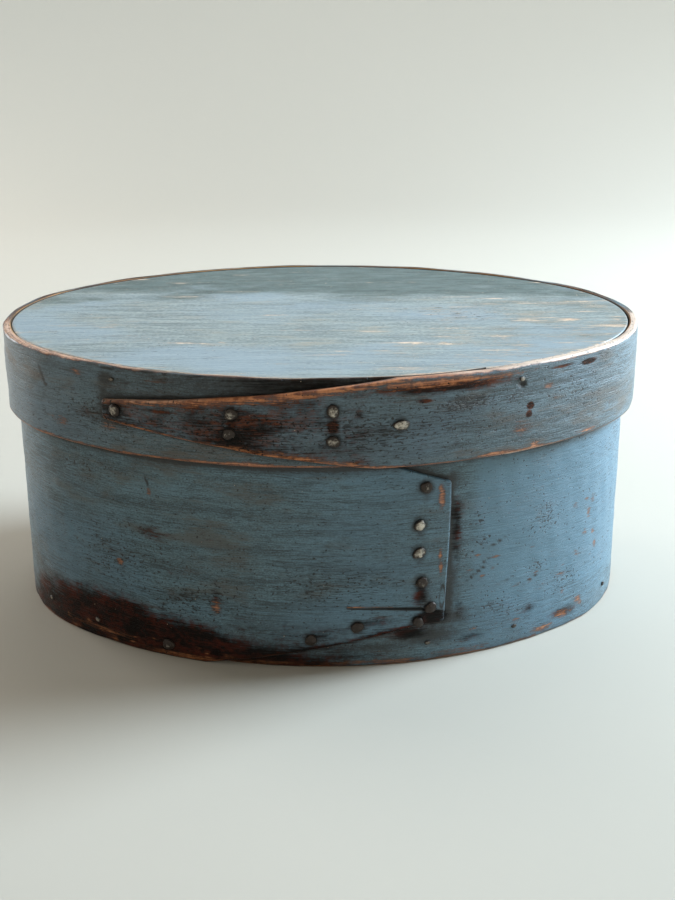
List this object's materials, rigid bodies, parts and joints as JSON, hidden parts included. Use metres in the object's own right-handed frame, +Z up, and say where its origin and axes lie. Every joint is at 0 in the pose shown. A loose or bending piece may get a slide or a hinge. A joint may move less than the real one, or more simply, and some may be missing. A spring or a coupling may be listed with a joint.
{
  "type": "shaker oval box",
  "caption": "Bentwood oval storage box with nailed laps on its side strips, a let-in wooden base and a lift-off lid with a long tapering finger.",
  "frame": {"origin": "middle of the flat base, on the surface where the box stands", "axes": "+Z up, X along the oval's length, -Y towards the side where the laps are nailed"},
  "size_m": [0.305, 0.2358, 0.135],
  "materials": {
    "box_paint": "worn dark blue milk paint over bent wood",
    "lid_paint": "worn blue milk paint over bent wood",
    "board_paint": "worn teal-blue milk paint over a sawn board",
    "bare_wood": "old bare wood",
    "iron": "hand-forged, grey with age"
  },
  "bodies": {
    "box": {"box_side_band": "box_paint", "base_board": "bare_wood", "lap_tack_1": "iron", "lap_tack_2": "iron", "lap_tack_3": "iron", "lap_tack_4": "iron", "lap_tack_5": "iron", "lap_tack_6": "iron", "foot_tack_1": "iron", "foot_tack_2": "iron", "base_tack": "iron", "base_nails": "iron"},
    "lid": {"lid_side_band": "lid_paint", "lid_board": "board_paint", "finger_tack_1": "iron", "finger_tack_2": "iron", "finger_tack_3": "iron", "finger_tack_4": "iron", "finger_tack_5": "iron", "finger_tack_6": "iron", "lid_nails": "iron"}
  },
  "joints": [
    {"name": "lid_lift", "type": "slide", "parent": "box", "child": "lid", "axis": [0, 0, 1], "range_m": [0, 0.06]}
  ]
}
